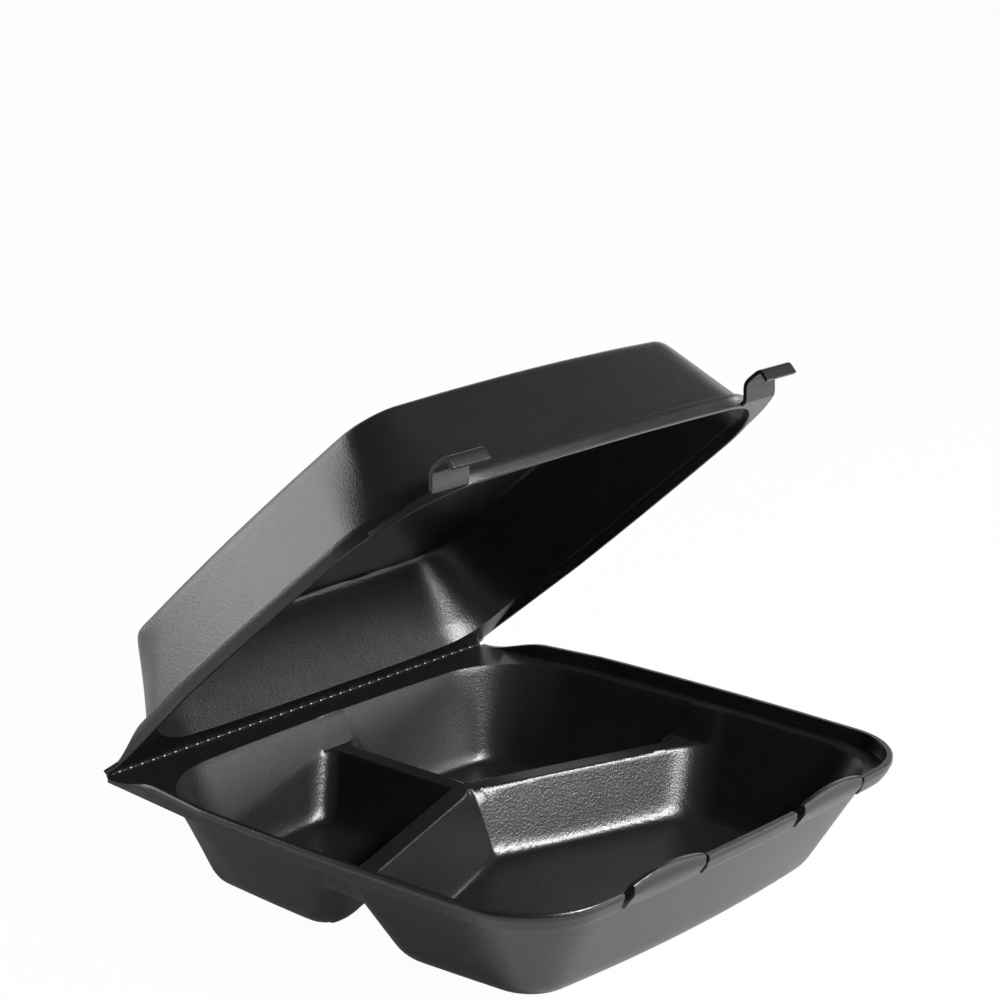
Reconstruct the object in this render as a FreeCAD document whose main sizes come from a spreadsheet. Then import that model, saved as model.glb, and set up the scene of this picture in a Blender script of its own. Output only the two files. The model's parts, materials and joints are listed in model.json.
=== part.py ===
import FreeCAD, Part
import math
import os
from FreeCAD import Placement, Rotation, Vector

# Foam clamshell food container: a three-compartment tray and a hinged lid,
# formed from one sheet. Millimetres. Shapes are drawn about the hinge line:
# x along the hinge, y zero at the hinge and negative towards the front,
# z zero at the table for the tray and zero at the hinge for the lid.

doc = FreeCAD.newDocument("clamshell")
sheet = doc.addObject("Spreadsheet::Sheet", "Sizes")

SIZES = [
    ("sheet_thickness", 2.4, "foam sheet, every wall"),
    ("rim_half_width", 114.5, "tray rim, middle of a side to the centre line"),
    ("tray_reach", 220.0, "hinge line to the middle of the tray's front rim"),
    ("rim_bow", 4.1, "how far the middle of a rim side stands out from its ends"),
    ("rim_corner", 32.0, "radius of the tray rim's front corners"),
    ("hinge_height", 39.8, "table to the hinge and to the top of the ledge"),
    ("rim_thickness", 1.8, "foam pressed thinner at ledges and crease"),
    ("band_height", 5.6, "upstand round the tray, above the ledge"),
    ("band_edge", 3.0, "height of the upstand's upright outer edge"),
    ("band_edge_inset", 1.1, "upstand below its edge, behind the edge"),
    ("band_foot_inset", 2.9, "upstand at its foot, behind the edge"),
    ("band_inner_top", 2.4, "inside of the upstand behind the edge, at the top"),
    ("band_inner_foot", 3.1, "inside of the upstand behind the edge, at the foot"),
    ("tip_half_width", 105.5, "both rims at the hinge, to the centre line"),
    ("trim_reach", 60.0, "hinge line to where the tray's rim starts to narrow"),
    ("band_ramp_start", 33.0, "from the hinge to where the upstand is full height"),
    ("band_ramp_end", 4.0, "from the hinge to where the upstand has run out"),
    ("ledge_width", 3.0, "flat step between upstand and wall"),
    ("hinge_flange", 12.6, "hinge line to the inside of the tray's back wall"),
    ("hinge_gap", 0.3, "half the slit that the crease leaves between tray and lid"),
    ("crease_thickness", 0.9, "sheet pressed thin at the crease"),
    ("crease_width", 2.5, "width of the pressed strip on each side"),
    ("wall_corner", 34.0, "radius of the tray wall's front corners at the ledge"),
    ("wall_back_corner", 42.0, "radius of the tray wall's back corners at the ledge"),
    ("floor_half_width", 87.0, "tray floor, outside"),
    ("floor_front", 195.0, "hinge line to the front edge of the floor, outside"),
    ("floor_back", 21.5, "hinge line to the back edge of the floor, outside"),
    ("floor_bow", 5.0, "bow of the floor's edges"),
    ("floor_corner", 17.0, "radius of the floor's corners"),
    ("floor_round", 6.0, "inside radius between wall and floor"),
    ("pocket_corner", 9.0, "inside radius where a divider meets a wall"),
    ("divider_height", 27.1, "table to the top of the dividers"),
    ("divider_top", 8.0, "width of the dividers' flat top"),
    ("divider_draft", 24.0, "slope of a divider's sides from upright, degrees"),
    ("divider_fork", 84.6, "hinge line to the point where the divider forks"),
    ("divider_sweep", 18.5, "how far the arms turn towards the front, degrees"),
    ("latch_place", 48.0, "centre line to the middle of a front latch"),
    ("latch_width", 38.0, "width of a latch between its slits"),
    ("latch_stand", 1.2, "how far a latch stands out from the upstand"),
    ("latch_thickness", 2.2, "foam at a latch"),
    ("latch_rise", 4.2, "middle of a latch above the top of the upstand"),
    ("latch_end_rise", 1.6, "ends of a latch above the top of the upstand"),
    ("latch_hang", 0.8, "how far a latch reaches below the ledge's top"),
    ("latch_slit", 3.0, "slit at each end of a latch"),
    ("latch_slit_drop", 7.6, "depth of a slit below the top of the upstand"),
    ("lid_half_width", 111.0, "lid rim, middle of a side to the centre line"),
    ("lid_reach", 207.6, "hinge line to the middle of the lid's front rim"),
    ("lid_bow", 5.4, "bow of the lid rim"),
    ("lid_rim_corner", 44.0, "radius of the lid rim's front corners"),
    ("lid_trim_reach", 66.0, "hinge line to where the lid's rim starts to narrow"),
    ("lid_waist", 102.0, "lid rim at its narrowest, to the centre line"),
    ("lid_waist_reach", 7.0, "hinge line to the narrowest place of the lid's rim"),
    ("lid_lift", 0.4, "closed lid's rim above the tray's ledge"),
    ("lid_step", 6.3, "hinge line to the top of the lid's rim step"),
    ("lid_ledge", 3.4, "width of the lid's rim step"),
    ("lid_height", 40.6, "hinge line to the top of the closed lid"),
    ("lid_wall_corner", 36.0, "radius of the lid wall's corners at the step"),
    ("lid_top_half_width", 89.7, "lid top, middle of a side to the centre line"),
    ("lid_top_front", 192.6, "hinge line to the front edge of the lid's top"),
    ("lid_top_back", 17.3, "hinge line to the back edge of the lid's top"),
    ("lid_top_corner", 18.0, "radius of the lid top's corners"),
    ("lid_top_round", 5.0, "outside radius between lid wall and lid top"),
    ("tab_place", 86.0, "centre line to the middle of a lid tab"),
    ("tab_width", 18.0, "width of a lid tab"),
    ("tab_thickness", 1.5, "foam pressed thinner at a tab"),
    ("tab_clearance", 0.2, "tab to the tray's upstand when closed"),
    ("tab_reach", 218.4, "hinge line to the inside of a tab's hook"),
    ("tab_root_rise", 2.0, "top of a tab where it leaves the lid's rim, from the hinge"),
    ("tab_climb", 206.3, "hinge line to where a tab starts to climb over the upstand"),
    ("tab_crest", 210.7, "hinge line to where a tab has climbed over the upstand"),
    ("tab_drop", 5.3, "how far a tab hooks down outside the upstand"),
    ("tab_flare_half_width", 100.5, "centre line to the shoulder of a tab's flared root"),
    ("tab_flare_reach", 199.5, "hinge line to the shoulder of a tab's flared root"),
    ("tab_flare_foot", 106.0, "centre line to where the flared root meets the lid's rim"),
    ("tab_flare_foot_reach", 178.5, "hinge line to where the flared root meets the lid's rim"),
    ("perforation_pitch", 5.6, "spacing of the cuts along the crease"),
    ("perforation_length", 2.6, "length of one cut"),
    ("perforation_width", 1.0, "how far a cut reaches into each side"),
    ("lid_open", 40.9, "angle of the open lid from closed, degrees"),
]
for row, (name, value, note) in enumerate(SIZES, start=1):
    sheet.set(f"A{row}", name)
    sheet.set(f"B{row}", str(value))
    sheet.set(f"C{row}", note)
    sheet.setAlias(f"B{row}", name)
doc.recompute()


def size(name):
    return float(getattr(sheet, name))


def arc_edge(centre, start, end, radius, height):
    """Arc from start to end, the short way, about centre, seen from above."""
    middle = (start + end) * 0.5 - centre
    middle = centre + middle * (radius / middle.Length)
    lift = Vector(0, 0, height)
    return Part.Arc(start + lift, middle + lift, end + lift).toShape()


def bowed_circles(half_width, front, back, bow):
    """Centres and radii of the side arc and the end arc of a bowed outline."""
    half_depth = (front - back) / 2
    side_radius = (half_depth**2 + bow**2) / (2 * bow)
    end_radius = (half_width**2 + bow**2) / (2 * bow)
    side_centre = Vector(half_width - side_radius, -(front + back) / 2, 0)
    return side_centre, side_radius, end_radius


def corner_centre(side_centre, side_radius, end_centre, end_radius, radius, turn):
    """Centre of the corner arc that runs smoothly into both bowed arcs."""
    reach_side = side_radius - radius
    reach_end = end_radius - radius
    apart = end_centre - side_centre
    distance = apart.Length
    along = (reach_side**2 - reach_end**2 + distance**2) / (2 * distance)
    across = math.sqrt(reach_side**2 - along**2)
    unit = apart * (1 / distance)
    normal = Vector(-unit.y, unit.x, 0) * turn
    return side_centre + unit * along + normal * across


def touch(circle_centre, circle_radius, corner):
    """Point where the corner arc runs into a bowed arc."""
    line = corner - circle_centre
    return circle_centre + line * (circle_radius / line.Length)


def mirrored(point):
    return Vector(-point.x, point.y, point.z)


def pillow(half_width, front, back, bow, radius, back_radius, height):
    """Closed outline: four bowed sides joined by four round corners."""
    side_centre, side_radius, end_radius = bowed_circles(half_width, front, back, bow)
    front_centre = Vector(0, -front + end_radius, 0)
    back_centre = Vector(0, -back - end_radius, 0)
    front_corner = corner_centre(side_centre, side_radius, front_centre, end_radius, radius, -1)
    back_corner = corner_centre(side_centre, side_radius, back_centre, end_radius, back_radius, 1)
    side_front = touch(side_centre, side_radius, front_corner)
    front_end = touch(front_centre, end_radius, front_corner)
    side_back = touch(side_centre, side_radius, back_corner)
    back_end = touch(back_centre, end_radius, back_corner)
    edges = [
        arc_edge(side_centre, side_back, side_front, side_radius, height),
        arc_edge(front_corner, side_front, front_end, radius, height),
        arc_edge(front_centre, front_end, mirrored(front_end), end_radius, height),
        arc_edge(mirrored(front_corner), mirrored(front_end), mirrored(side_front), radius, height),
        arc_edge(mirrored(side_centre), mirrored(side_front), mirrored(side_back), side_radius, height),
        arc_edge(mirrored(back_corner), mirrored(side_back), mirrored(back_end), back_radius, height),
        arc_edge(back_centre, mirrored(back_end), back_end, end_radius, height),
        arc_edge(back_corner, back_end, side_back, back_radius, height),
    ]
    return Part.Wire(edges)


def flange(half_width, front, bow, radius, trim, narrow, height):
    """Outline of a rim: bowed sides and front, narrowing from trim through the narrow points."""
    side_centre, side_radius, end_radius = bowed_circles(half_width, front, 0.0, bow)
    front_centre = Vector(0, -front + end_radius, 0)
    corner = corner_centre(side_centre, side_radius, front_centre, end_radius, radius, -1)
    side_front = touch(side_centre, side_radius, corner)
    front_end = touch(front_centre, end_radius, corner)
    rise = -trim - side_centre.y
    start = Vector(side_centre.x + math.sqrt(side_radius**2 - rise**2), -trim, 0)
    points = [Vector(x, y, 0) for x, y in narrow] + [start]
    lift = Vector(0, 0, height)
    edges = [Part.makeLine(a + lift, b + lift) for a, b in zip(points, points[1:])]
    edges += [
        arc_edge(side_centre, start, side_front, side_radius, height),
        arc_edge(corner, side_front, front_end, radius, height),
        arc_edge(front_centre, front_end, mirrored(front_end), end_radius, height),
        arc_edge(mirrored(corner), mirrored(front_end), mirrored(side_front), radius, height),
        arc_edge(mirrored(side_centre), mirrored(side_front), mirrored(start), side_radius, height),
    ]
    points = [mirrored(point) for point in reversed(points)]
    edges += [Part.makeLine(a + lift, b + lift) for a, b in zip(points, points[1:])]
    edges.append(Part.makeLine(points[-1] + lift, mirrored(points[-1]) + lift))
    return Part.Wire(edges)


def prism(wire, thickness):
    return Part.Face(wire).extrude(Vector(0, 0, thickness))


def between(low, high, share):
    return [a + (b - a) * share for a, b in zip(low, high)]


def drafted(low, high, low_height, high_height, start, end, inset):
    """Solid with sloping walls from start to end height, drawn inset inside the wall line."""
    wires = []
    for height in (start, end):
        share = (height - low_height) / (high_height - low_height)
        half_width, front, back, bow, radius, back_radius = between(low, high, share)
        wires.append(pillow(half_width - inset, front - inset, back + inset, bow,
                            radius - inset, back_radius - inset, height))
    return Part.makeLoft(wires, True, True)


def side_profile(points, width):
    """Solid pushed across the whole width from a profile of (y, z) points."""
    corners = [Vector(-width, y, z) for y, z in points]
    face = Part.Face(Part.makePolygon(corners + corners[:1]))
    return face.extrude(Vector(2 * width, 0, 0))


def slab(low_height, high_height):
    """Everything between two heights."""
    reach = 2 * size("tray_reach")
    box = Part.makeBox(2 * reach, 2 * reach, high_height - low_height)
    box.translate(Vector(-reach, -reach, low_height))
    return box


def divider_bars(side_inset, top_height, floor_height):
    """Three tapered bars, the stem and the two arms of the divider, drawn thinner by an inset."""
    slope = math.tan(math.radians(size("divider_draft")))
    fork = Vector(0, -size("divider_fork"), 0)
    sweep = size("divider_sweep")
    bars = []
    for angle in (90.0, -sweep, 180.0 + sweep):
        top = size("divider_top") / 2 + (size("divider_height") - top_height) * slope - side_inset
        foot = size("divider_top") / 2 + (size("divider_height") - floor_height) * slope - side_inset
        corners = [
            Vector(0, -foot, floor_height),
            Vector(0, foot, floor_height),
            Vector(0, top, top_height),
            Vector(0, -top, top_height),
        ]
        face = Part.Face(Part.makePolygon(corners + corners[:1]))
        bar = face.extrude(Vector(1.5 * size("rim_half_width"), 0, 0))
        bar.Placement = Placement(fork, Rotation(Vector(0, 0, 1), angle))
        bars.append(bar)
    return bars


def pocket_blocks(envelope, bars, top_height, floor_height, corner_radius, floor_radius):
    """The three pockets below the divider tops, with their corners and floor edges rounded."""
    block = envelope.common(slab(floor_height, top_height))
    for bar in bars:
        block = block.cut(bar)
    pockets = []
    for pocket in block.Solids:
        upright = []
        for edge in pocket.Edges:
            box = edge.BoundBox
            tall = box.ZLength > 0.8 * (top_height - floor_height)
            meets_bar = [face for face in pocket.Faces if face.Surface.TypeId == "Part::GeomPlane"
                         and any(edge.isSame(other) for other in face.Edges)]
            if tall and meets_bar:
                upright.append(edge)
        pocket = pocket.makeFillet(corner_radius, upright)
        floor_edges = [edge for edge in pocket.Edges
                       if edge.BoundBox.ZMax < floor_height + 0.01]
        pockets.append(pocket.makeFillet(floor_radius, floor_edges))
    return pockets


def tray_wall_lines():
    """Outside wall line of the tray at the floor and at the underside of the ledge."""
    thick = size("sheet_thickness")
    step = thick + size("ledge_width")
    floor_line = [size("floor_half_width"), size("floor_front"), size("floor_back"),
                  size("floor_bow"), size("floor_corner"), size("floor_corner")]
    ledge_line = [size("rim_half_width") - step, size("tray_reach") - step,
                  size("hinge_flange") - thick, size("rim_bow"), size("wall_corner"),
                  size("wall_back_corner")]
    return floor_line, ledge_line


def rim_line(inset, tip_inset, edge, height):
    """Outline of the tray's rim, drawn inside the edge by an inset."""
    tip = size("tip_half_width") - tip_inset
    return flange(size("rim_half_width") - inset, size("tray_reach") - inset, size("rim_bow"),
                  size("rim_corner") - inset, size("trim_reach"), [(tip, edge)], height)


def rim_latch(side):
    """Latch on the tray's front: an arched part of the upstand that stands up and out."""
    stand = size("latch_stand")
    base = size("hinge_height") - size("latch_hang")
    lip = size("hinge_height") + size("band_height")
    middle = lip + size("latch_rise")
    half = size("latch_width") / 2
    sagitta = size("latch_rise") - size("latch_end_rise")
    radius = (half**2 + sagitta**2) / (2 * sagitta)
    outer = prism(rim_line(-stand, 0.0, 0.0, base), middle - base)
    inner = prism(rim_line(size("latch_thickness") - stand, 0.0, 5.0, base - 1), middle - base + 2)
    window = Part.makeBox(size("latch_width"), size("tray_reach") / 4, middle - base)
    window.translate(Vector(side * size("latch_place") - half, -size("tray_reach") - 2 * stand, base))
    arch = Part.makeCylinder(radius, size("tray_reach"), Vector(0, 0, 0), Vector(0, -1, 0))
    arch.translate(Vector(side * size("latch_place"), -size("tray_reach") / 2, middle - radius))
    return outer.cut(inner).common(window).common(arch)


def tray_rim():
    """Ledge, flared upstand with its ramps to the hinge, and the two latches."""
    edge = -size("hinge_gap")
    ledge_top = size("hinge_height")
    ledge_under = ledge_top - size("rim_thickness")
    lip = ledge_top + size("band_height")
    edge_foot = lip - size("band_edge")
    foot = Part.makeLoft([rim_line(size("band_foot_inset"), 0.0, edge, ledge_under),
                          rim_line(size("band_edge_inset"), 0.0, edge, edge_foot)], True, True)
    upper = prism(rim_line(0.0, 0.0, edge, edge_foot), size("band_edge"))
    spare = size("band_inner_foot") - size("band_inner_top")
    slope = spare / size("band_height")
    hollow = Part.makeLoft([rim_line(size("band_inner_foot"), size("band_inner_foot"), 5.0, ledge_top),
                            rim_line(size("band_inner_top") - slope, size("band_inner_top") - slope,
                                     5.0, lip + 1)], True, True)
    above_ramp = side_profile([(-size("band_ramp_start"), lip), (-size("band_ramp_end"), ledge_top),
                               (5.0, ledge_top), (5.0, 2 * lip),
                               (-size("band_ramp_start"), 2 * lip)], 2 * size("rim_half_width"))
    rim = foot.fuse(upper).cut(hollow).cut(above_ramp)
    return rim.fuse([rim_latch(-1), rim_latch(1)])


def tray_shell():
    thick = size("sheet_thickness")
    floor_line, ledge_line = tray_wall_lines()
    ledge_top = size("hinge_height")
    ledge_under = ledge_top - size("rim_thickness")
    run_out = (size("floor_half_width") - ledge_line[0]) / ledge_under
    wall_skin = thick * math.hypot(1.0, run_out)
    slope = math.tan(math.radians(size("divider_draft")))
    bar_skin = thick * math.hypot(1.0, slope)
    lip = ledge_top + size("band_height")

    outside = drafted(floor_line, ledge_line, 0.0, ledge_under, 0.0, ledge_top, 0.0)
    inside = drafted(floor_line, ledge_line, 0.0, ledge_under, thick, lip, wall_skin)
    divider_top = size("divider_height")
    divider_under = divider_top - thick
    outer_bars = divider_bars(bar_skin, divider_under, 0.0)
    inner_bars = divider_bars(0.0, divider_top, thick)
    outer_pockets = pocket_blocks(outside, outer_bars, divider_under, 0.0,
                                  size("pocket_corner") + thick, size("floor_round") + thick)
    inner_pockets = pocket_blocks(inside, inner_bars, divider_top, thick,
                                  size("pocket_corner"), size("floor_round"))
    upper = outside.common(slab(divider_under, ledge_top))
    hollow = inside.common(slab(divider_top, 2 * lip))
    shell = upper.fuse(outer_pockets + [tray_rim()])
    return shell.cut(hollow.fuse(inner_pockets))


def lid_rim_line(inset, edge, height):
    """Outline of the lid's rim, which narrows before the hinge to clear the tray's upstand."""
    tip = size("tip_half_width") - inset
    waist = size("lid_waist") - inset
    return flange(size("lid_half_width") - inset, size("lid_reach") - inset, size("lid_bow"),
                  size("lid_rim_corner") - inset, size("lid_trim_reach"),
                  [(tip, edge), (waist, -size("lid_waist_reach"))], height)


def lid_shell():
    thick = size("sheet_thickness")
    lift = size("lid_lift")
    step_top = size("lid_step")
    height = size("lid_height")
    top_line = [size("lid_top_half_width"), size("lid_top_front"), size("lid_top_back"),
                size("lid_bow"), size("lid_top_corner"), size("lid_top_corner")]
    step_line = [size("lid_half_width") - size("lid_ledge"), size("lid_reach") - size("lid_ledge"),
                 size("hinge_flange") - thick, size("lid_bow"), size("lid_wall_corner"),
                 size("lid_wall_corner")]
    slant = (step_line[0] - top_line[0]) / (height - step_top)
    wall_skin = thick * math.hypot(1.0, slant)
    outside = drafted(step_line, top_line, step_top, height, lift, height, 0.0)
    top_edges = [edge for edge in outside.Edges if edge.BoundBox.ZMin > height - 0.01]
    outside = outside.makeFillet(size("lid_top_round"), top_edges)
    inside = drafted(step_line, top_line, step_top, height, 0.0, height - thick, wall_skin)
    inner_edges = [edge for edge in inside.Edges if edge.BoundBox.ZMin > height - thick - 0.01]
    inside = inside.makeFillet(size("lid_top_round") - thick / 2, inner_edges)

    edge = -size("hinge_gap")
    pressed = size("rim_thickness")
    plate = prism(lid_rim_line(0.0, edge, lift), pressed)
    band = prism(lid_rim_line(0.0, edge, lift), step_top - lift)
    above_ramp = side_profile([(-size("band_ramp_start"), step_top),
                               (-size("band_ramp_end"), lift + pressed),
                               (thick, lift + pressed), (thick, height),
                               (-size("band_ramp_start"), height)], 2 * size("lid_half_width"))
    band = band.cut(above_ramp)
    band_hollow = prism(pillow(size("lid_half_width") - pressed, size("lid_reach") - pressed,
                               size("hinge_flange"), size("lid_bow"),
                               size("lid_rim_corner") - pressed, size("lid_wall_corner"), 0.0),
                        step_top - pressed)
    shell = outside.fuse([plate, band, tab_hook(-1), tab_hook(1)])
    return shell.cut(inside.fuse(band_hollow)).removeSplitter()


def tab_hook(side):
    """Hook that leaves the lid's rim, climbs over the tray's upstand and drops outside it.

    Its root flares along the rim's corner."""
    thick = size("tab_thickness")
    under = size("band_height") + size("tab_clearance")
    inside = size("tab_reach")
    start = size("lid_reach") - size("lid_rim_corner") / 2
    climb = size("tab_climb")
    crest = size("tab_crest")
    root = size("tab_root_rise")
    rise = under - root + thick
    back = thick * (math.hypot(crest - climb, rise) - crest + climb) / rise
    low = under + thick - size("tab_drop")
    upper = [(start, root), (climb - back, root), (crest - back, under + thick),
             (inside + thick / 3, under + thick), (inside + thick, under + thick / 3),
             (inside + thick, low)]
    lower = [(inside, low), (inside, under), (crest, under), (climb, root - thick),
             (start, root - thick)]
    corners = [Vector(0, -y, z) for y, z in upper + lower]
    face = Part.Face(Part.makePolygon(corners + corners[:1]))
    hook = face.extrude(Vector(size("tab_width"), 0, 0))
    inner_side = size("tab_place") - size("tab_width") / 2
    outer_side = size("tab_place") + size("tab_width") / 2
    hook.translate(Vector(min(side * inner_side, side * outer_side), 0, 0))
    plan = [(inner_side, start), (inner_side, climb - back), (outer_side, climb - back),
            (size("tab_flare_half_width"), size("tab_flare_reach")),
            (size("tab_flare_foot"), size("tab_flare_foot_reach")),
            (size("tab_flare_foot") - thick / 2, start - 3 * thick)]
    corners = [Vector(side * x, -y, root - thick) for x, y in plan]
    plate = Part.Face(Part.makePolygon(corners + corners[:1])).extrude(Vector(0, 0, thick))
    return hook.fuse(plate)


def pressed_crease(top_height, face_side):
    """Sliver that is pressed away beside the crease, on one face of the sheet."""
    width = size("rim_half_width")
    spare = size("rim_thickness") - size("crease_thickness")
    edge = -size("hinge_gap")
    start = edge - size("crease_width")
    level = top_height + face_side * size("rim_thickness")
    points = [(start, level), (1.0, level), (1.0, level - face_side * spare),
              (edge, level - face_side * spare)]
    return side_profile(points, width)


def perforations(prefix, height_expression, count):
    """Cuts along the crease, each bound to the sheet."""
    cuts = []
    for index in range(count):
        place = index - (count - 1) / 2
        cut = doc.addObject("Part::Box", f"{prefix}_{index}")
        cut.setExpression("Length", "Sizes.perforation_length")
        cut.setExpression("Width", "2 * Sizes.perforation_width + 2 * Sizes.hinge_gap")
        cut.setExpression("Height", "4 * Sizes.sheet_thickness")
        cut.setExpression("Placement.Base.x",
                          f"{place} * Sizes.perforation_pitch - Sizes.perforation_length / 2")
        cut.setExpression("Placement.Base.y", "-Sizes.perforation_width - Sizes.hinge_gap")
        cut.setExpression("Placement.Base.z", height_expression)
        cuts.append(cut)
    group = doc.addObject("Part::Compound", prefix)
    group.Links = cuts
    return group


crease_length = 2 * size("tip_half_width") - size("hinge_flange")
cut_count = int(crease_length / size("perforation_pitch"))

tray_skin = doc.addObject("Part::Feature", "tray_skin")
tray_skin.Shape = tray_shell().cut(pressed_crease(size("hinge_height"), -1))
lid_skin = doc.addObject("Part::Feature", "lid_skin")
lid_skin.Shape = lid_shell().cut(pressed_crease(size("lid_lift"), 1))

tray_cuts = perforations("tray_cuts", "Sizes.hinge_height - 2 * Sizes.sheet_thickness", cut_count)
lid_cuts = perforations("lid_cuts", "-2 * Sizes.sheet_thickness", cut_count)

slits = []
for side in (-1, 1):
    for end in (-1, 1):
        slit = doc.addObject("Part::Box", f"slit_{side + 1}_{end + 1}")
        slit.setExpression("Length", "Sizes.latch_slit")
        slit.setExpression("Width", "2 * Sizes.band_inner_foot + Sizes.latch_stand")
        slit.setExpression("Height", "Sizes.latch_slit_drop + Sizes.latch_rise + 1")
        slit.setExpression("Placement.Base.x",
                           f"{side} * Sizes.latch_place + {end} * (Sizes.latch_width + Sizes.latch_slit) / 2"
                           " - Sizes.latch_slit / 2")
        slit.setExpression("Placement.Base.y", "-Sizes.tray_reach - Sizes.latch_stand - 0.5")
        slit.setExpression("Placement.Base.z",
                           "Sizes.hinge_height + Sizes.band_height - Sizes.latch_slit_drop")
        slits.append(slit)
slit_group = doc.addObject("Part::Compound", "slits")
slit_group.Links = slits

tray_slit = doc.addObject("Part::Cut", "tray_slit")
tray_slit.Base = tray_skin
tray_slit.Tool = slit_group
tray = doc.addObject("Part::Cut", "tray")
tray.Base = tray_slit
tray.Tool = tray_cuts
lid = doc.addObject("Part::Cut", "lid")
lid.Base = lid_skin
lid.Tool = lid_cuts
for cut in (tray_slit, tray, lid):
    cut.Refine = False
doc.recompute()

# The lid turns about the hinge, and the footprint's middle becomes the origin.
lid.Placement = Placement(Vector(0, 0, size("hinge_height")),
                          Rotation(Vector(1, 0, 0), -size("lid_open")))
doc.recompute()
footprint = tray.Shape.optimalBoundingBox()
footprint.add(lid.Shape.optimalBoundingBox())
shift = -(footprint.YMin + footprint.YMax) / 2
tray.Placement = Placement(Vector(0, shift, 0), Rotation())
lid.Placement = Placement(Vector(0, shift, size("hinge_height")),
                          Rotation(Vector(1, 0, 0), -size("lid_open")))
doc.recompute()

nodes = [tray, lid]
tray.Label = "tray"
lid.Label = "lid"
for item in doc.Objects:
    if "Invalid" in item.State or "Error" in item.State:
        raise RuntimeError(f"{item.Label} failed to build")
for node in nodes:
    if node.Shape.isNull() or not node.Shape.isValid():
        raise RuntimeError(f"{node.Label} is not a valid shape")
    if len(node.Shape.Solids) != 1:
        raise RuntimeError(f"{node.Label} is {len(node.Shape.Solids)} solids")

os.makedirs("parts", exist_ok=True)
for node in nodes:
    node.Shape.exportStep(f"parts/{node.Label}.step")
    box = node.Shape.optimalBoundingBox()
    print(f"{node.Label}: volume {node.Shape.Volume:.0f} mm3, "
          f"x {box.XMin:.1f} to {box.XMax:.1f}, y {box.YMin:.1f} to {box.YMax:.1f}, "
          f"z {box.ZMin:.1f} to {box.ZMax:.1f}")
print(f"hinge line at y {shift:.3f}, z {size('hinge_height'):.3f}")
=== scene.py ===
import json
import math

import bpy
import numpy as np
from mathutils import Matrix


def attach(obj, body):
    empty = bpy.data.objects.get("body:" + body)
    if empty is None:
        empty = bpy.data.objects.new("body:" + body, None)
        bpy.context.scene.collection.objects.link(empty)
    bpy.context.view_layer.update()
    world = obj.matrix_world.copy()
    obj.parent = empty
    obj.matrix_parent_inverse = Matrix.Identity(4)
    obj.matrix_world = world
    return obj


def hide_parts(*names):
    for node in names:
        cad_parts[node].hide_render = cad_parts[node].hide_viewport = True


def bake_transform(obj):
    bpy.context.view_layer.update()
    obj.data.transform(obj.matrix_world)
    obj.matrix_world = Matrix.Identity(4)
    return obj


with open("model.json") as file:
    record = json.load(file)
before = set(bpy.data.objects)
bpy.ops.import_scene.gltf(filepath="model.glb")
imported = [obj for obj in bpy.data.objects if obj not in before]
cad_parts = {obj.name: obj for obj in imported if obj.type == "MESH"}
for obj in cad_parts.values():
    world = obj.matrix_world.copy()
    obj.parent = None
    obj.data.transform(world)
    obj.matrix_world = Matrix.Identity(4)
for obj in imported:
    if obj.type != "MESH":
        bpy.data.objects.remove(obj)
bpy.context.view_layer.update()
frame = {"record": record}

# Black foam
# The whole container is one sheet of foamed polystyrene, dyed black and formed hot. Its pressed
# skin has a satin gloss over tiny closed cells, so light breaks up into a fine grain.


def srgb(code):
    """Linear colour of an sRGB hex code: each channel is undone with the sRGB curve."""
    channels = [int(code[i:i + 2], 16) / 255 for i in (1, 3, 5)]
    return [c / 12.92 if c <= 0.04045 else ((c + 0.055) / 1.055) ** 2.4 for c in channels] + [1.0]


def node(tree, kind, settings=None, inputs=None):
    """Adds a node, sets its settings, and sets or links each named input."""
    new = tree.nodes.new(kind)
    for name, value in (settings or {}).items():
        setattr(new, name, value)
    for name, value in (inputs or {}).items():
        if isinstance(value, bpy.types.NodeSocket):
            tree.links.new(value, new.inputs[name])
        else:
            new.inputs[name].default_value = value
    return new


def foam_material(name, grain):
    """Black foamed polystyrene with a formed skin: a satin gloss over cells pressed flat.

    Its pattern has cells, clouds and specks, with their widths in mm. The bump's height comes from
    cells and specks. The clouds shift the colour and the gloss a little."""
    cell, cloud, speck = 1.05, 9.0, 0.6
    material = bpy.data.materials.new(name)
    material.use_nodes = True
    tree = material.node_tree
    tree.nodes.clear()
    place = node(tree, "ShaderNodeTexCoord").outputs["Object"]
    cells = node(tree, "ShaderNodeTexVoronoi", {"feature": "SMOOTH_F1"},
                 {"Vector": place, "Scale": 1000 / cell, "Smoothness": 0.6})
    clouds = node(tree, "ShaderNodeTexNoise", {},
                  {"Vector": place, "Scale": 1000 / cloud, "Detail": 3.0, "Roughness": 0.6})
    fine = node(tree, "ShaderNodeTexNoise", {},
                {"Vector": place, "Scale": 1000 / speck, "Detail": 2.0, "Roughness": 0.55})
    height = node(tree, "ShaderNodeMath", {"operation": "MULTIPLY_ADD"},
                  {0: cells.outputs["Distance"], 1: 0.6, 2: fine.outputs["Fac"]})
    bump = node(tree, "ShaderNodeBump", {}, {"Strength": grain, "Distance": 0.00025,
                                             "Height": height.outputs[0]})
    tone = node(tree, "ShaderNodeMix", {"data_type": "RGBA"},
                {"Factor": clouds.outputs["Fac"], 6: srgb("#17171a"), 7: srgb("#1f1f23")})
    sheen = node(tree, "ShaderNodeMapRange", {},
                 {"Value": clouds.outputs["Fac"], "To Min": 0.26, "To Max": 0.32})
    skin = node(tree, "ShaderNodeBsdfPrincipled", {},
                {"Base Color": tone.outputs[2], "Roughness": sheen.outputs["Result"],
                 "IOR": 1.59, "Normal": bump.outputs["Normal"]})
    node(tree, "ShaderNodeOutputMaterial", {}, {"Surface": skin.outputs["BSDF"]})
    return material


foam = foam_material("black_foam_skin", 0.3)

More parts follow.
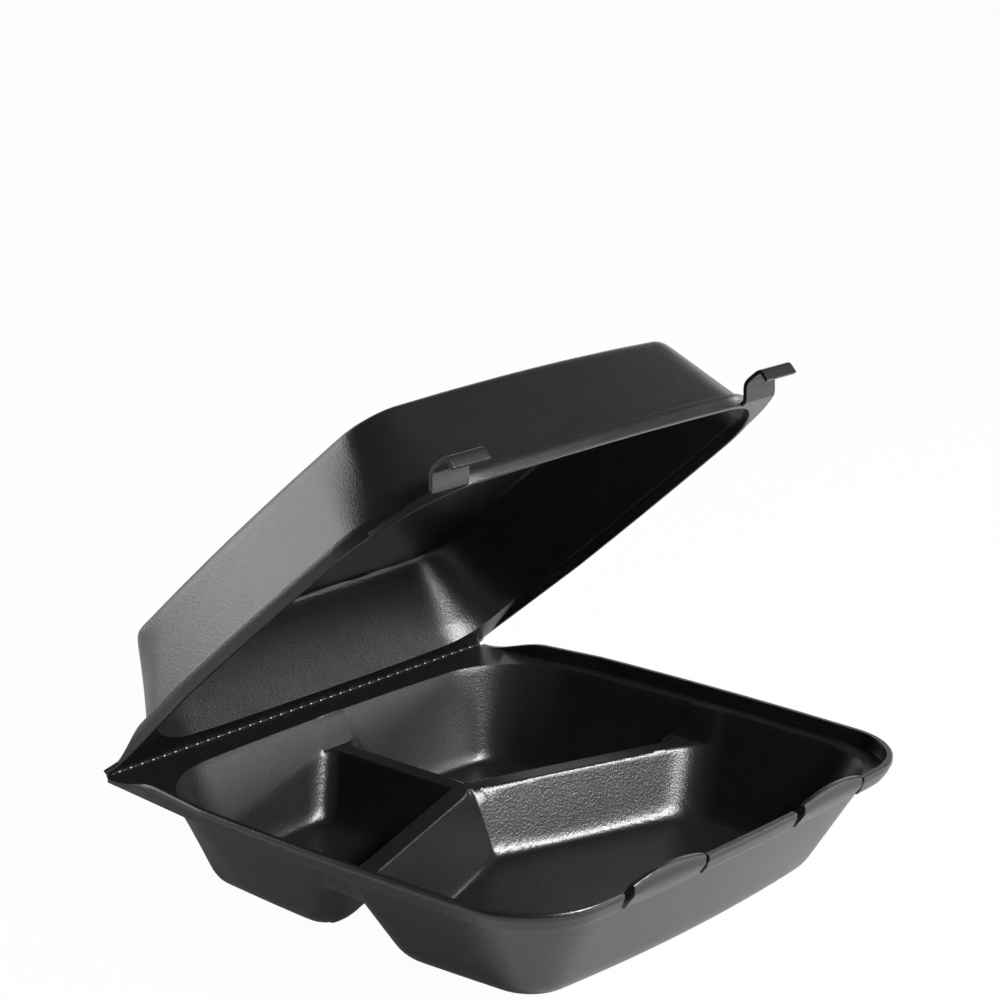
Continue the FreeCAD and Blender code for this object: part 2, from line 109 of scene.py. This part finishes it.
# Tray
# The tray is a drafted, bowed square bowl with a hollow Y divider, a ledge that the lid's rim
# rests in, and an upstand round it. It runs down to a flat flange at the crease.

MM = 0.001
hinge = np.array(frame["record"]["behaviour"]["joints"][0]["pos_m"]) / MM
# In mm: the thickness of the walls and of the pressed rim, the place across the crease where its
# flange ends, half the flange's length, and how far the tray's sides and front bow out.
SHEET, PRESSED = 2.4, 1.8
EDGE, TIP = -1.2, 105.5
BOW = 4.1


def arc(centre, radius, start, end, shares):
    """Points on a circle from one angle to another, at the given shares of the way."""
    angle = start + (end - start) * shares
    return np.stack([centre[0] + radius * np.cos(angle), centre[1] + radius * np.sin(angle)], axis=1)


def corner_centre(side, side_radius, end, end_radius, radius, turn):
    """Centre of the small circle that lies inside two big ones and touches both."""
    reach_side, reach_end = side_radius - radius, end_radius - radius
    apart = end - side
    distance = np.linalg.norm(apart)
    along = (reach_side**2 - reach_end**2 + distance**2) / (2 * distance)
    across = math.sqrt(reach_side**2 - along**2)
    unit = apart / distance
    return side + unit * along + turn * across * np.array([-unit[1], unit[0]])


def direction(centre, point):
    return math.atan2(point[1] - centre[1], point[0] - centre[0])


def bowed(half_width, front, back, bow):
    """Side circle and end circles of a square whose sides bow outwards."""
    side_radius = (((front - back) / 2) ** 2 + bow**2) / (2 * bow)
    end_radius = (half_width**2 + bow**2) / (2 * bow)
    side = np.array([half_width - side_radius, -(front + back) / 2])
    return side, side_radius, end_radius


def bowl_line(half_width, front, back, bow, front_corner, back_corner):
    """Right half of a bowed, round-cornered outline, from its back middle to its front middle."""
    side, side_radius, end_radius = bowed(half_width, front, back, bow)
    front_end = np.array([0.0, -front + end_radius])
    back_end = np.array([0.0, -back - end_radius])
    low = corner_centre(side, side_radius, front_end, end_radius, front_corner, -1)
    high = corner_centre(side, side_radius, back_end, end_radius, back_corner, 1)
    even = np.linspace(0, 1, 120)[:-1]
    low_side, high_side = direction(side, low), direction(side, high)
    low_front, high_back = direction(front_end, low), direction(back_end, high)
    return np.concatenate([
        arc(back_end, end_radius, math.pi / 2, high_back, even),
        arc(high, back_corner, high_back, high_side, even),
        arc(side, side_radius, high_side, low_side, even),
        arc(low, front_corner, low_side, low_front, even),
        arc(front_end, end_radius, low_front, -math.pi / 2, np.linspace(0, 1, 120)),
    ])


def rim_line(half_width, front, bow, corner, trim, narrow, places):
    """Right half of a rim, from the middle of the crease round to the middle of the front.

    It runs along the crease to its tip, through the narrow points to the bowed side, round the
    corner and along the bowed front. places holds one array of shares for each stretch."""
    side, side_radius, end_radius = bowed(half_width, front, 0.0, bow)
    front_end = np.array([0.0, -front + end_radius])
    low = corner_centre(side, side_radius, front_end, end_radius, corner, -1)
    rise = -trim - side[1]
    start = np.array([side[0] + math.sqrt(side_radius**2 - rise**2), -trim])
    stops = [np.array([0.0, narrow[0][1]])] + [np.array(p) for p in narrow] + [start]
    parts = [a + (b - a) * share[:, None] for a, b, share in zip(stops, stops[1:], places)]
    low_side, low_front = direction(side, low), direction(front_end, low)
    rest = places[len(stops) - 1:]
    parts.append(arc(side, side_radius, direction(side, start), low_side, rest[0]))
    parts.append(arc(low, corner, low_side, low_front, rest[1]))
    parts.append(arc(front_end, end_radius, low_front, -math.pi / 2, rest[2]))
    return np.concatenate(parts)


def shares(length, coarse, dense=(), last=False):
    """Places from 0 to 1 along a stretch: coarse steps, and finer ones in each dense zone.

    A dense zone is (middle, half width, step) in mm. The steps are the inverse of a density that
    is summed along the stretch."""
    fine = np.linspace(0, length, 2000)
    density = np.full_like(fine, 1 / coarse)
    for middle, half, step in dense:
        density = np.maximum(density, (np.abs(fine - middle) < half) / step)
    total = np.concatenate([[0], np.cumsum((density[1:] + density[:-1]) / 2 * np.diff(fine))])
    count = max(2, int(round(total[-1])))
    places = np.interp(np.linspace(0, total[-1], count + 1), total, fine) / length
    return places if last else places[:-1]


def both_halves(half):
    """Closed outline from its right half: the left half is its mirror image, run backwards."""
    left = half[::-1][1:-1] * np.array([-1.0, 1.0])
    return np.concatenate([half, left])


def along_rays(middle, towards, half):
    """Where rays from the middle, towards given points, meet an outline: read off its polar form."""
    closed = both_halves(half) - middle
    angle = np.arctan2(closed[:, 1], closed[:, 0])
    order = np.argsort(angle)
    rays = towards - middle
    wanted = np.arctan2(rays[:, 1], rays[:, 0])
    reach = np.interp(wanted, angle[order], np.linalg.norm(closed, axis=1)[order], period=2 * math.pi)
    return middle + reach[:, None] * np.stack([np.cos(wanted), np.sin(wanted)], axis=1)


def soft_max(a, b, width):
    """The larger of two heights, rounded where they are within a width of each other."""
    near = np.clip(width - np.abs(a - b), 0, None)
    return np.maximum(a, b) + near**2 / (4 * width)


def soft_min(a, b, width):
    return -soft_max(-a, -b, width)


def ring(points, height):
    """One ring of points in three dimensions from an outline and its height."""
    column = np.broadcast_to(np.reshape(height, (-1, 1)), (len(points), 1))
    return np.concatenate([points, column], axis=1)


def shell(name, rings, place=None):
    """Closed mesh from rings of points: each ring is joined to the next, and both ends are filled."""
    rings = np.stack(rings)
    count = rings.shape[1]
    points = rings.reshape(-1, 3)
    caps = np.stack([rings[0].mean(axis=0), rings[-1].mean(axis=0)])
    here = np.arange(rings.shape[0] - 1)[:, None] * count
    around = np.arange(count)[None, :]
    after = (around + 1) % count
    quads = np.stack([here + around, here + after, here + count + after, here + count + around],
                     axis=-1).reshape(-1, 4)
    first, last = len(points), len(points) + 1
    edge, following = np.arange(count), (np.arange(count) + 1) % count
    base = (rings.shape[0] - 1) * count
    fans = np.concatenate([np.stack([np.full(count, first), following, edge], axis=1),
                           np.stack([np.full(count, last), base + edge, base + following], axis=1)])
    points = np.concatenate([points, caps])
    if place is not None:
        points = place(points)
    mesh = bpy.data.meshes.new(name)
    mesh.from_pydata((points * MM).tolist(), [], quads.tolist() + fans.tolist())
    mesh.shade_smooth()
    mesh.set_sharp_from_angle(angle=math.radians(42))
    piece = bpy.data.objects.new(name, mesh)
    bpy.context.scene.collection.objects.link(piece)
    return piece


def skin_normals(surface):
    """Unit normals of a grid of points, from the cross product of its two tangents."""
    around = np.roll(surface, -1, axis=1) - np.roll(surface, 1, axis=1)
    outward = np.gradient(surface, axis=0)
    normal = np.cross(around, outward)
    return normal / np.linalg.norm(normal, axis=2, keepdims=True)


FORK = np.array([0.0, -84.6])
STEM_AND_ARMS = [math.radians(a) for a in (90.0, -18.5, 198.5)]
LEDGE = hinge[2]
LATCH = 48.0
SLITS = (LATCH - 20.5, LATCH + 20.5)
tray_shares = [
    shares(TIP, 2.6, [(0, 22, 0.9)]),
    shares(60.0, 2.8),
    shares(128.0, 2.8, [(61, 22, 0.9)]),
    shares(50.0, 2.4),
    shares(82.0, 2.8, [(13.5, 3, 0.3), (54.5, 3, 0.3), (34, 17, 1.6)], last=True),
]


def tray_rim(inset, tip_inset):
    """The tray's rim, drawn in by one inset all round and by another at the crease's tips."""
    tip = (TIP - tip_inset, EDGE)
    return both_halves(rim_line(half_width=114.5 - inset, front=220.0 - inset, bow=BOW, corner=32.0 - inset,
                                trim=60.0, narrow=[tip], places=tray_shares))


outer_rim = tray_rim(0.0, 0.0)
wall_top = along_rays(FORK, outer_rim, bowl_line(half_width=106.5, front=212.0, back=12.8, bow=BOW,
                                                 front_corner=31.4, back_corner=39.4))
wall_foot = along_rays(FORK, outer_rim, bowl_line(half_width=84.4, front=192.4, back=24.1, bow=5.0,
                                                  front_corner=14.4, back_corner=14.4))


def pocket_surface():
    """Inside of the tray below the ledge, as rings from the fork out to the wall's top.

    Height is the larger of the floor, the wall and the divider, with rounded valleys. The wall
    rises evenly between its foot and its top. The divider falls away at 24 degrees from a flat
    top 8 mm wide, and widens where it runs into a wall. Where the two blend, nothing rises above
    the crest, or above the wall where that is the higher one."""
    crest, half_top, slope, lead = 27.1 - SHEET, 4.0, math.radians(24.0), 5.0
    out = np.linalg.norm(wall_top - FORK, axis=1)
    foot = np.linalg.norm(wall_foot - FORK, axis=1)
    floor_places = np.linspace(0.02, 1, 54) ** 0.9
    wall_places = np.linspace(0, 1, 30)[1:]
    reach = np.concatenate([floor_places[:, None] * (foot - lead),
                            foot - lead + wall_places[:, None] * (out - foot + lead)])
    ray = (wall_top - FORK) / out[:, None]
    flat = FORK + reach[..., None] * ray
    wall = (LEDGE - SHEET) * (reach - foot) / (out - foot)
    across = np.full(reach.shape, 1e3)
    for angle in STEM_AND_ARMS:
        offset = flat - FORK
        along = offset @ np.array([math.cos(angle), math.sin(angle)])
        side = np.abs(offset @ np.array([-math.sin(angle), math.cos(angle)]))
        side = np.where(along > 0, side, np.hypot(side, along))
        across = soft_min(across, side, 0.6)
    divider = crest - (across - half_top) / math.tan(slope)
    bulk = soft_max(wall, divider, 24.0)
    ceiling = soft_max(np.full_like(wall, crest), wall + 1.1, 0.8)
    bulk = soft_min(bulk, ceiling, 1.1)
    toe = np.where(divider > wall, 4.0, 5.5)
    height = SHEET + soft_max(bulk, np.zeros_like(bulk), toe)
    height = soft_min(height, np.full_like(height, LEDGE), 1.6)
    return np.concatenate([flat, height[..., None]], axis=2)


inside = pocket_surface()
below = inside - skin_normals(inside) * SHEET
below[..., 2] = np.clip(below[..., 2], 0.0, LEDGE - PRESSED)
on_front = outer_rim[:, 1] < -200


def latched(points, height, amount):
    """Rim ring with the two latches.

    Within 19 mm of each latch's middle, the upstand rises in an arch and stands out by 1.2 mm."""
    off = np.abs(np.abs(points[:, 0]) - LATCH)
    arch = np.clip(1 - (off / 19.5) ** 2, 0, 1) * on_front
    plateau = np.clip((19.3 - off) / 0.5, 0, 1) * on_front
    moved = points.copy()
    moved[:, 1] -= 1.2 * plateau
    return moved, height + amount * plateau * (1.6 + 2.6 * arch)


def notched(line, low):
    """Cuts the slits at the latches' ends: the ring is drawn back there to 6 mm behind the edge.

    Each slit is 3 mm wide. Nothing in it stands higher than the given height."""
    place = np.abs(line[:, 0])
    gap = np.minimum(*[np.abs(place - slit) for slit in SLITS])
    cut = np.clip((1.6 - gap) / 0.3, 0, 1) * on_front
    line[:, 1] += cut * (outer_rim[:, 1] + 6.0 - line[:, 1])
    line[:, 2] += cut * (np.minimum(line[:, 2], low) - line[:, 2])
    return line


def away(points, start, run):
    """Share from 0 at a start distance from the crease's line to 1 a run further out."""
    return np.clip((-points[:, 1] - start) / run, 0, 1)


def eased(points):
    """Share from 0 beside the crease to 1 at 33 mm from it, eased in and out by a cubic."""
    share = away(points, 4.0, 29.0)
    return share * share * (3 - 2 * share)


def ramped(points, height):
    """Height of the upstand, run down towards the flat flange beside the crease."""
    return LEDGE + (height - LEDGE) * eased(points)


# The upstand's section, from the ledge over its top to its outer edge. Each point is how far it
# lies inside the rim, how far above the ledge, and how much of the latches' lift it takes.
profile = [(3.4, 0.1, 1.0), (3.0, 0.9, 1.0), (2.7, 3.0, 1.0), (2.45, 5.0, 1.0), (2.1, 5.6, 1.0),
           (0.5, 5.6, 1.0), (0.0, 5.0, 1.0), (0.0, 3.2, 0.6), (0.5, 2.6, 0.3)]
rim_rings = []
for step, (inset, rise, share) in enumerate(profile):
    line = tray_rim(inset, min(inset, 3.1) if rise > 0 else 3.1)
    moved, high = latched(line, np.full(len(line), LEDGE + rise), share if rise > 1 else 0.0)
    rim_rings.append(notched(ring(moved, ramped(line, high)), LEDGE - 0.1 * step))
# The rim's underside runs back in to the wall.
for inset, rise in ((1.1, 2.6), (2.9, 0.0), (4.2, 0.0)):
    line = tray_rim(inset, 0.3)
    low = ramped(line, np.full(len(line), LEDGE + rise)) - PRESSED
    rim_rings.append(notched(ring(line, low), LEDGE - 1.6))
tray = shell("tray_shell", list(inside) + rim_rings + list(below[::-1]),
             lambda p: p + np.array([0.0, hinge[1], 0.0]))
tray.data.materials.append(foam)
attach(tray, "tray_body")
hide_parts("tray")

# Lid
# The lid is the same sheet folded up at the crease: a shallower bowl with a flat top, a stepped
# rim that drops inside the tray's upstand, and a flange that narrows beside the crease.

OPEN = math.radians(40.9)
LID_MIDDLE = np.array([0.0, -104.0])
LID_BOW = 5.4
FLANGE_TOP, FLANGE_LOW = 2.2, 0.4
lid_shares = [shares(TIP, 2.8), shares(7.0, 1.4), shares(59.0, 2.8), shares(98.0, 3.0),
              shares(68.0, 2.2), shares(67.0, 3.0, last=True)]


def lid_rim(inset):
    """The lid's rim, drawn in by an inset: it narrows beside the crease before it widens again."""
    narrow = [(TIP - inset, EDGE), (102.0 - inset, -7.0)]
    return both_halves(rim_line(half_width=111.0 - inset, front=207.6 - inset, bow=LID_BOW,
                                corner=44.0 - inset, trim=66.0, narrow=narrow, places=lid_shares))


def lid_place(points):
    """Turns the closed lid about the crease to where it stands open."""
    y, z = points[:, 1], points[:, 2]
    return np.stack([points[:, 0], hinge[1] + y * math.cos(OPEN) + z * math.sin(OPEN),
                     hinge[2] - y * math.sin(OPEN) + z * math.cos(OPEN)], axis=1)


lid_edge = lid_rim(0.0)
step_foot = bowl_line(half_width=107.6, front=204.2, back=10.2, bow=LID_BOW,
                      front_corner=36.0, back_corner=36.0)
top_line = bowl_line(half_width=89.7, front=192.6, back=17.3, bow=LID_BOW,
                     front_corner=18.0, back_corner=18.0)
lid_foot = along_rays(LID_MIDDLE, lid_edge, step_foot)
lid_top = along_rays(LID_MIDDLE, lid_edge, top_line)


def lid_bowl(drop, low, high, fillet):
    """Rings of the lid's bowl from the middle of its top down to its step, drawn inside by drop.

    The wall runs straight from foot to top outline. Where the two meet, a height that is the
    softened smaller of the wall and the flat top makes the round edge."""
    lead = 7.0
    foot = np.linalg.norm(lid_foot - LID_MIDDLE, axis=1) - drop
    top = np.linalg.norm(lid_top - LID_MIDDLE, axis=1) - drop
    ray = (lid_foot - LID_MIDDLE) / np.linalg.norm(lid_foot - LID_MIDDLE, axis=1)[:, None]
    flat_places = np.linspace(0.06, 1, 18)
    wall_places = np.linspace(0, 1, 26)[1:]
    reach = np.concatenate([flat_places[:, None] * (top - lead),
                            top - lead + wall_places[:, None] * (foot - top + lead)])
    wall = low + (high - low) * (foot - reach) / (foot - top)
    height = soft_min(wall, np.full_like(wall, high), fillet)
    flat = LID_MIDDLE + reach[..., None] * ray
    return np.concatenate([flat, height[..., None]], axis=2)


def lid_step(points, height):
    """Height of the lid's step, run down towards the flat flange beside the crease."""
    return FLANGE_TOP + (height - FLANGE_TOP) * eased(points)


def lid_hollow(points, height):
    """Height of the step's inside, run down to the flange between 34 and 14 mm off the crease."""
    return FLANGE_LOW + (height - FLANGE_LOW) * away(points, 14.0, 20.0)


outer = lid_bowl(drop=0.0, low=6.3, high=40.6, fillet=4.5)
inner = lid_bowl(drop=2.7, low=4.5, high=38.2, fillet=3.6)
outer[-1, :, 2] = lid_step(outer[-1], 6.3)
inner[-1, :, 2] = lid_hollow(inner[-1], inner[-1, :, 2])
rings = list(outer)
# The rim's outside runs over its rounded edge to its foot, and then its inside runs back up.
# Each point is how far it lies inside the rim and how far above the hinge's level.
for inset, height in ((2.2, 6.3), (0.6, 6.2), (0.1, 5.6), (0.0, 3.0), (0.1, 0.8), (0.5, 0.4)):
    line = lid_rim(inset)
    rings.append(ring(line, lid_step(line, height) if height > FLANGE_TOP else height))
for inset, height in ((1.6, 0.4), (2.0, 0.8), (2.1, 4.0), (2.4, 4.4)):
    line = lid_rim(inset)
    rings.append(ring(line, lid_hollow(line, height)))
rings += list(inner[::-1])
lid = shell("lid_shell", rings, lid_place)
lid.data.materials.append(foam)
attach(lid, "lid_body")
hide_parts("lid")

# Tabs
# Two tabs are cut with the lid's rim near its front corners. Each climbs over the tray's upstand
# and hooks down outside it, and clips the closed box shut.

TAB_START, TAB_WIDTH, ROOT_WIDTH = 77.0, 18.0, 28.0
hook_line = np.array([(205.6, 1.25), (206.8, 2.2), (208.4, 4.4), (210.0, 6.1), (212.0, 6.7),
                      (215.0, 6.7), (217.9, 6.7), (219.1, 6.2), (219.3, 4.6), (219.3, 2.0)])


def grid_faces(rows, columns):
    """Four-sided faces between the points of a grid, kept as a grid of faces."""
    index = np.arange(rows * columns).reshape(rows, columns)
    return np.stack([index[:-1, :-1], index[1:, :-1], index[1:, 1:], index[:-1, 1:]], axis=-1)


def thin_piece(name, points, faces, thickness):
    """Piece from a surface in mm, given its thickness by Solidify, half of it to either side."""
    mesh = bpy.data.meshes.new(name)
    mesh.from_pydata((points * MM).tolist(), [], faces.tolist())
    mesh.shade_smooth()
    piece = bpy.data.objects.new(name, mesh)
    bpy.context.scene.collection.objects.link(piece)
    wall = piece.modifiers.new("sheet", "SOLIDIFY")
    wall.thickness = thickness * MM
    wall.offset = 0.0
    return piece


def tab_surface(name, side):
    """Tab: a root that spreads from the rim's corner, then a hook carried straight along the rim.

    The root's rows are straight mixes of the rim's curve and the hook's first line, and swell
    towards their outer end. The hook's line is rounded by averaging neighbours five times."""
    along, corners = np.linspace(0, len(hook_line) - 1, 46), np.arange(len(hook_line))
    line = np.stack([np.interp(along, corners, hook_line[:, i]) for i in (0, 1)], axis=1)
    for _ in range(5):
        line[1:-1] = (line[:-2] + 2 * line[1:-1] + line[2:]) / 4
    columns = np.linspace(0, 1, 31)
    rim = lid_rim(1.5)
    rim = rim[(rim[:, 0] > 60) & (rim[:, 1] < -150)]
    rim = rim[np.argsort(rim[:, 0])]
    rim_x = TAB_START + ROOT_WIDTH * columns
    rim_y = np.interp(rim_x, rim[:, 0], rim[:, 1])
    hook_x, flat = TAB_START + TAB_WIDTH * columns, 0 * columns
    first, level = hook_line[0]
    rows = []
    for mix in np.linspace(0, 1, 12)[:-1]:
        bulge = 2.4 * 4 * mix * (1 - mix) * columns**3
        rows.append(np.stack([rim_x + (hook_x - rim_x) * mix + bulge,
                              rim_y + (-first - rim_y) * mix, flat + level], axis=1))
    for reach, rise in line:
        rows.append(np.stack([hook_x, flat - reach, flat + rise], axis=1))
    points = np.stack(rows)
    points[..., 0] *= side
    quads = grid_faces(*points.shape[:2]).reshape(-1, 4)
    if side > 0:
        quads = quads[:, ::-1]
    piece = thin_piece(name, lid_place(points.reshape(-1, 3)), quads, 1.5)
    soft = piece.modifiers.new("edges", "BEVEL")
    soft.width = 0.4 * MM
    soft.segments = 2
    return piece


for side, name in ((-1, "tab_left"), (1, "tab_right")):
    tab = tab_surface(name, side)
    tab.data.materials.append(foam)
    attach(tab, "lid_body")

# Crease
# Between tray and lid the sheet is pressed thin and cut through in a row of short slits, so that
# it folds in a straight line. Light shows through the slits.

PITCH, SLIT, END = 5.6, 1.5, 104.2
count = int(2 * TIP / PITCH) - 1
middles = (np.arange(count) - (count - 1) / 2) * PITCH
slit_ends = np.stack([middles - SLIT / 2, middles + SLIT / 2], axis=1).ravel()
stops = np.concatenate([[-END], slit_ends, [END]])
tray_side = np.array([(-3.0, -0.5), (-1.2, -0.5), (-0.4, -0.45)])
lid_side = lid_place(np.array([(0, -0.4, 0.8), (0, -1.2, 0.85), (0, -3.0, 0.85)]))[:, 1:] - hinge[1:]
bend = np.array([(-0.05, -0.2), (0.2, 0.25)])
section = np.concatenate([tray_side, bend, lid_side])
points = np.stack([stops + 0.0 * section[:, :1], hinge[1] + section[:, :1] + 0.0 * stops,
                   hinge[2] + section[:, 1:] + 0.0 * stops], axis=-1).reshape(-1, 3)
quads = grid_faces(len(section), len(stops))[..., [0, 3, 2, 1]]
open_slit = np.zeros(quads.shape[:2], dtype=bool)
open_slit[3:-3, 1::2] = True
crease = thin_piece("crease", points, quads[~open_slit], 0.7)
crease.data.materials.append(foam)
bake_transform(crease)

# Floor and light
# A white table in a dim white room. A soft box stands high at the front right with a long low one
# under it, and weaker ones fill in from the right, the back and above. In the foam's gloss the
# table shows only faintly, and the backdrop only low down behind the container.

bpy.ops.mesh.primitive_plane_add(size=8.0, location=(0, 0, -0.0002))
table = bpy.context.object
table.name = "table"
paper = bpy.data.materials.new("white_paper_table")
paper.use_nodes = True
tree = paper.node_tree
tree.nodes.clear()
path = node(tree, "ShaderNodeLightPath")
plain = node(tree, "ShaderNodeBsdfDiffuse", {}, {"Color": (0.82, 0.82, 0.82, 1.0)})
white = node(tree, "ShaderNodeEmission", {}, {"Color": (1.0, 1.0, 1.0, 1.0), "Strength": 1.0})
direct = node(tree, "ShaderNodeMath", {"operation": "MAXIMUM"},
              {0: path.outputs["Is Camera Ray"], 1: path.outputs["Is Transmission Ray"]})
mirrored = node(tree, "ShaderNodeMath", {"operation": "MULTIPLY_ADD"},
                {0: path.outputs["Is Glossy Ray"], 1: 0.12, 2: direct.outputs[0]})
seen = node(tree, "ShaderNodeMath", {"operation": "MULTIPLY"}, {0: mirrored.outputs[0], 1: 0.97})
mixed = node(tree, "ShaderNodeMixShader", {},
             {0: seen.outputs[0], 1: plain.outputs[0], 2: white.outputs[0]})
node(tree, "ShaderNodeOutputMaterial", {}, {"Surface": mixed.outputs[0]})
table.data.materials.append(paper)

world = bpy.data.worlds.new("studio")
bpy.context.scene.world = world
world.use_nodes = True
tree = world.node_tree
tree.nodes.clear()
path = node(tree, "ShaderNodeLightPath")
look = node(tree, "ShaderNodeTexCoord").outputs["Generated"]
split = node(tree, "ShaderNodeSeparateXYZ", {}, {"Vector": look})
# The gloss sees the backdrop up to 14 degrees above the horizon, fading out by 25, and up to 47
# degrees either side of straight behind, fading out by 66.
low = node(tree, "ShaderNodeMapRange", {"interpolation_type": "SMOOTHSTEP"},
           {"Value": split.outputs["Z"],
            "From Min": 0.25, "From Max": 0.42, "To Min": 1.0, "To Max": 0.0})
facing = node(tree, "ShaderNodeVectorMath", {"operation": "DOT_PRODUCT"}, {0: look, 1: (0.4, 0.917, 0.0)})
behind = node(tree, "ShaderNodeMapRange", {"interpolation_type": "SMOOTHSTEP"},
              {"Value": facing.outputs["Value"], "From Min": 0.4, "From Max": 0.68})
sweep = node(tree, "ShaderNodeMath", {"operation": "MULTIPLY"},
             {0: low.outputs["Result"], 1: behind.outputs["Result"]})
glossy = node(tree, "ShaderNodeMath", {"operation": "MULTIPLY"},
              {0: sweep.outputs[0], 1: path.outputs["Is Glossy Ray"]})
direct = node(tree, "ShaderNodeMath", {"operation": "MAXIMUM"},
              {0: path.outputs["Is Camera Ray"], 1: path.outputs["Is Transmission Ray"]})
seen = node(tree, "ShaderNodeMath", {"operation": "MAXIMUM"}, {0: direct.outputs[0], 1: glossy.outputs[0]})
room = node(tree, "ShaderNodeMapRange", {}, {"Value": seen.outputs[0], "To Min": 0.09, "To Max": 1.0})
sky = node(tree, "ShaderNodeBackground", {},
           {"Color": (1.0, 1.0, 1.0, 1.0), "Strength": room.outputs["Result"]})
node(tree, "ShaderNodeOutputWorld", {}, {"Surface": sky.outputs[0]})


def level_axes(ahead):
    """Axes to the right of a direction and up from it, the first of them level."""
    right = np.cross(ahead, [0, 0, 1])
    right = right / np.linalg.norm(right)
    return right, np.cross(right, ahead)


def looking(right, up, ahead, spot):
    """Placement of a lamp or camera at a spot: it looks ahead, with these axes right and up."""
    return Matrix([[right[i], up[i], -ahead[i], spot[i]] for i in range(3)] + [[0, 0, 0, 1]])


def soft_box(name, position, target, width, height, power):
    """Area lamp with its place and size in metres and power in watts, turned towards a target."""
    lamp = bpy.data.lights.new(name, "AREA")
    lamp.shape = "RECTANGLE"
    lamp.size, lamp.size_y = width, height
    lamp.energy = power
    holder = bpy.data.objects.new(name, lamp)
    toward = np.array(target) - np.array(position)
    toward = toward / np.linalg.norm(toward)
    holder.matrix_world = looking(*level_axes(toward), toward, position)
    bpy.context.scene.collection.objects.link(holder)


soft_box("front_box", (0.38, -1.26, 1.06), (0, 0, 0.05), 0.9, 0.34, 40)
soft_box("low_box", (1.0, -1.25, 0.2), (0, 0, 0.05), 1.3, 0.2, 4)
soft_box("side_box", (1.5, 0.1, 0.6), (0, 0, 0.05), 0.3, 0.15, 1.5)
soft_box("back_box", (-0.62, 1.6, 0.42), (0, 0, 0.1), 1.4, 0.8, 7.5)
soft_box("top_box", (0.6, -0.9, 1.8), (0, 0, 0.05), 0.8, 0.8, 2)

# Camera
# It stands about 1 m away at the front left and looks 15 degrees down. Its place and its long lens
# were fitted to the outlines in the photo, 1000 pixels wide.

LENS_PIXELS, PICTURE, SENSOR = 2718.36, 1000, 36.0
azimuth, elevation, roll = math.radians(48.96), math.radians(15.4), math.radians(0.3)
spot = np.array([-721.8, hinge[1] - 730.2, 407.3]) * MM
ahead = np.array([math.sin(azimuth) * math.cos(elevation), math.cos(azimuth) * math.cos(elevation),
                  -math.sin(elevation)])
flat_right, flat_up = level_axes(ahead)
right = flat_right * math.cos(roll) + flat_up * math.sin(roll)
up = -flat_right * math.sin(roll) + flat_up * math.cos(roll)
camera = bpy.data.cameras.new("camera")
camera.sensor_width = SENSOR
camera.lens = LENS_PIXELS * SENSOR / PICTURE
viewer = bpy.data.objects.new("camera", camera)
viewer.matrix_world = looking(right, up, ahead, spot)
bpy.context.scene.collection.objects.link(viewer)
bpy.context.scene.camera = viewer
bpy.context.scene.view_settings.view_transform = "Standard"
